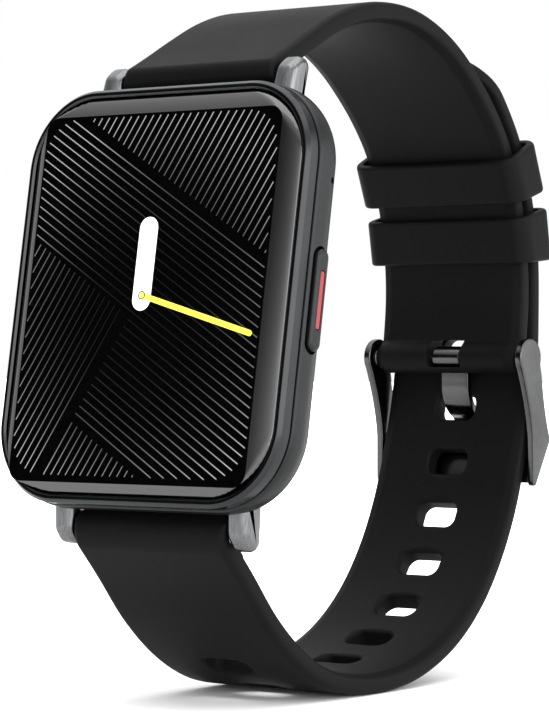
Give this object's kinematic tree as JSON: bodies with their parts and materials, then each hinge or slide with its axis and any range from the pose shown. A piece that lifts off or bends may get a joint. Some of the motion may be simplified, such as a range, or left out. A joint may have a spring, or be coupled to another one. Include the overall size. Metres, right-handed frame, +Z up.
{
  "type": "smartwatch",
  "caption": "Square smartwatch with a dark metal case, side button and buckled silicone band with two keepers, closed as worn.",
  "frame": {"origin": "middle of the wrist opening, on the band's centre plane", "axes": "+X towards the side button, +Y from the display towards the buckle, +Z up towards the 12 o'clock lugs"},
  "size_m": [0.0381, 0.0647, 0.0747],
  "materials": {
    "case_metal": "dark grey anodised, satin",
    "bezel_metal": "near-black anodised with bright chamfers",
    "lug_metal": "brushed along its length",
    "buckle_metal": "dark gunmetal plating, bright",
    "steel": "plain steel",
    "gold_plate": "gold plated",
    "cover_glass": "polished, black behind",
    "silicone": "matte silicone",
    "dark_plastic": "fine matte",
    "seal_rubber": "soft",
    "red_inlay": "satin enamel",
    "board": "solder mask",
    "battery_foil": "foil pouch",
    "magnet": "nickel plated",
    "lens": "dark polished",
    "led": "clear green"
  },
  "bodies": {
    "case": {"cover_glass": "cover_glass", "glass_gasket": "seal_rubber", "display_panel": "dark_plastic", "front_bezel": "bezel_metal", "case_frame": "case_metal", "lug_top_left": "lug_metal", "lug_top_right": "lug_metal", "lug_bottom_left": "lug_metal", "lug_bottom_right": "lug_metal", "back_cover": "dark_plastic", "back_gasket": "seal_rubber", "back_screw_top_left": "steel", "back_screw_top_right": "steel", "back_screw_bottom_left": "steel", "back_screw_bottom_right": "steel", "sensor_window": "lens", "sensor_board": "board", "sensor_led": "led", "photodiode_top": "lens", "photodiode_bottom": "lens", "charging_contact_left": "gold_plate", "charging_contact_right": "gold_plate", "charging_magnet_left": "magnet", "charging_magnet_right": "magnet", "main_board": "board", "battery": "battery_foil", "vibration_motor": "steel", "speaker": "dark_plastic", "microphone": "steel", "button_seal": "seal_rubber", "button_switch": "steel"},
    "button": {"button_cap": "case_metal", "button_inlay": "red_inlay"},
    "band": {"strap_buckle_half": "silicone", "strap_tail_half": "silicone", "buckle_pin": "steel", "spring_bar_top": "steel", "release_spring_top": "steel", "spring_bar_bottom": "steel", "release_spring_bottom": "steel"},
    "upper_keeper": {"keeper_upper": "silicone"},
    "lower_keeper": {"keeper_lower": "silicone"},
    "buckle": {"buckle_frame": "buckle_metal"},
    "tongue": {"buckle_tongue": "buckle_metal"},
    "top_release": {"release_pin_top": "steel"},
    "bottom_release": {"release_pin_bottom": "steel"}
  },
  "joints": [
    {"name": "band_swing", "type": "hinge", "parent": "case", "child": "band", "pos_m": [0, -0.02331, 0.02818], "axis": [1, 0, 0], "range_deg": [0, 60]},
    {"name": "button_press", "type": "slide", "parent": "case", "child": "button", "axis": [-1, 0, 0], "range_m": [0, 0.00035], "stiffness_N_per_m": 3000, "springref_m": -0.0002},
    {"name": "upper_keeper_slide", "type": "hinge", "parent": "band", "child": "upper_keeper", "pos_m": [0, -0.0111, 0.0065], "axis": [1, 0, 0], "range_deg": [-1.2, 1.5]},
    {"name": "lower_keeper_slide", "type": "hinge", "parent": "band", "child": "lower_keeper", "pos_m": [0, -0.0111, 0.0065], "axis": [1, 0, 0], "range_deg": [-12, 1.2]},
    {"name": "buckle_swing", "type": "hinge", "parent": "band", "child": "buckle", "pos_m": [0, 0.0228, -0.0013], "axis": [1, 0, 0], "range_deg": [0, 3]},
    {"name": "tongue_swing", "type": "hinge", "parent": "buckle", "child": "tongue", "pos_m": [0, 0.0228, -0.0013], "axis": [1, 0, 0], "range_deg": [0, 3.6]},
    {"name": "top_release_slide", "type": "slide", "parent": "band", "child": "top_release", "axis": [-1, 0, 0], "range_m": [0, 0.0014], "stiffness_N_per_m": 800, "springref_m": -0.0005, "deforming": ["release_spring_top"]},
    {"name": "bottom_release_slide", "type": "slide", "parent": "band", "child": "bottom_release", "axis": [-1, 0, 0], "range_m": [0, 0.0014], "stiffness_N_per_m": 800, "springref_m": -0.0005, "deforming": ["release_spring_bottom"]}
  ]
}
